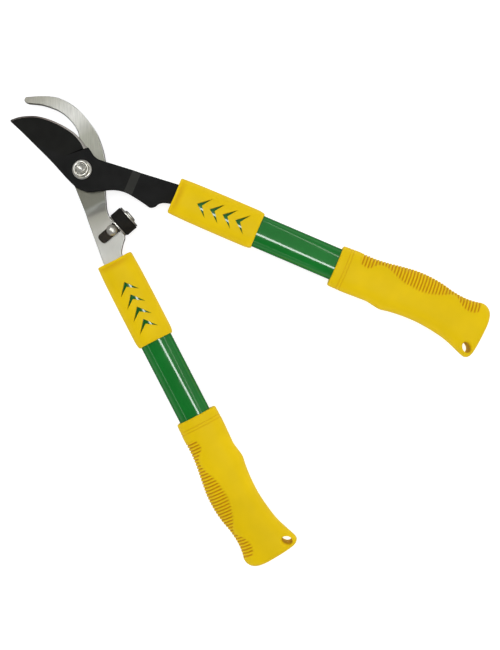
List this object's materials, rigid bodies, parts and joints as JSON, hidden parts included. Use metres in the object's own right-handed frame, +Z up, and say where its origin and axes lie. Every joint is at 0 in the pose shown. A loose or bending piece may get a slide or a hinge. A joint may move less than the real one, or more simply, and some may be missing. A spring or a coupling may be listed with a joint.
{
  "type": "bypass loppers",
  "caption": "Two-handed bypass pruning loppers with a coated cutting blade, a steel hook, a rubber bumper and oval tube handles with plastic grips.",
  "frame": {"origin": "on the pivot axis, at the bottom face of the pivot bolt's head, which lies in the plane that the tool rests on", "axes": "+Y from the pivot between the blades, with the handles spreading evenly towards -Y; +Z up along the pivot axis, through the flat of the tool"},
  "size_m": [0.324, 0.4638, 0.024],
  "materials": {
    "black_coating": "matt black non-stick coating",
    "bare_steel": "ground and lightly brushed",
    "zinc_plate": "bright zinc plated",
    "blackened_steel": "blackened, satin",
    "rubber": "moulded, matt",
    "green_paint": "gloss powder coat",
    "yellow_plastic": "satin moulded plastic",
    "grey_plastic": "moulded filler"
  },
  "bodies": {
    "hook_arm": {"hook_blade": "bare_steel", "pivot_bolt": "zinc_plate", "pivot_washer": "zinc_plate", "pivot_nut": "zinc_plate", "bumper_bracket": "blackened_steel", "bracket_rivet": "zinc_plate", "bumper_base_washer": "zinc_plate", "bumper_pad": "rubber", "bumper_cap_washer": "zinc_plate", "bumper_rivet": "zinc_plate", "left_tube": "green_paint", "left_sleeve": "yellow_plastic", "left_grip": "yellow_plastic", "left_tang_insert_front": "grey_plastic", "left_tang_insert_back": "grey_plastic", "left_tang_pin_1": "bare_steel", "left_tang_pin_2": "bare_steel"},
    "blade_arm": {"cutting_blade": "black_coating", "right_tube": "green_paint", "right_sleeve": "yellow_plastic", "right_grip": "yellow_plastic", "right_tang_insert_front": "grey_plastic", "right_tang_insert_back": "grey_plastic", "right_tang_pin_1": "bare_steel", "right_tang_pin_2": "bare_steel"}
  },
  "joints": [
    {"name": "handle_pivot", "type": "hinge", "parent": "hook_arm", "child": "blade_arm", "pos_m": [0, 0, 0.012], "axis": [0, 0, 1], "range_deg": [-14.4, 60]}
  ]
}
